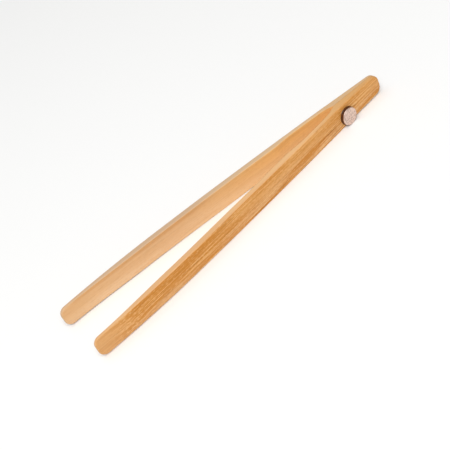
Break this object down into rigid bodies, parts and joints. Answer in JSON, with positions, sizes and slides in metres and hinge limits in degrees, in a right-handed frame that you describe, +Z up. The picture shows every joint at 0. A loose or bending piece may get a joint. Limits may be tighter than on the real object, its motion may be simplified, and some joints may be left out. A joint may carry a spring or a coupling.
{
  "type": "kitchen tongs",
  "caption": "Flat bamboo kitchen tongs, sprung by their own thin necks, glued at the head, with a round magnet on one arm.",
  "frame": {"origin": "bottom centre of the box of the whole object, under the middle plane between the two arms", "axes": "+X from the tips to the glued head, +Y from the near arm with the magnet to the far arm, +Z up along the arms' width, with the tongs lying on the narrow edges of their arms"},
  "size_m": [0.235, 0.0408, 0.0145],
  "materials": {
    "bamboo": "sanded and oiled",
    "wood_glue": "cured, amber brown",
    "nickel": "nickel plate, handled",
    "epoxy": "cured, dark"
  },
  "bodies": {
    "head": {"near_heel": "bamboo", "far_heel": "bamboo", "heel_glue": "wood_glue", "magnet_disc": "nickel", "magnet_glue": "epoxy"},
    "near_arm": {"near_blade": "bamboo"},
    "far_arm": {"far_blade": "bamboo"}
  },
  "joints": [
    {"name": "near_flex", "type": "hinge", "parent": "head", "child": "near_arm", "pos_m": [0.0625, -0.00594, 0.00725], "axis": [0, 0, -1], "range_deg": [0, 5.7], "stiffness_Nm_per_rad": 10},
    {"name": "far_flex", "type": "hinge", "parent": "head", "child": "far_arm", "pos_m": [0.0625, 0.00594, 0.00725], "axis": [0, 0, 1], "range_deg": [0, 5.7], "stiffness_Nm_per_rad": 10}
  ],
  "couplings": [
    {"joint": "far_flex", "follows": "near_flex", "ratio": 1}
  ]
}
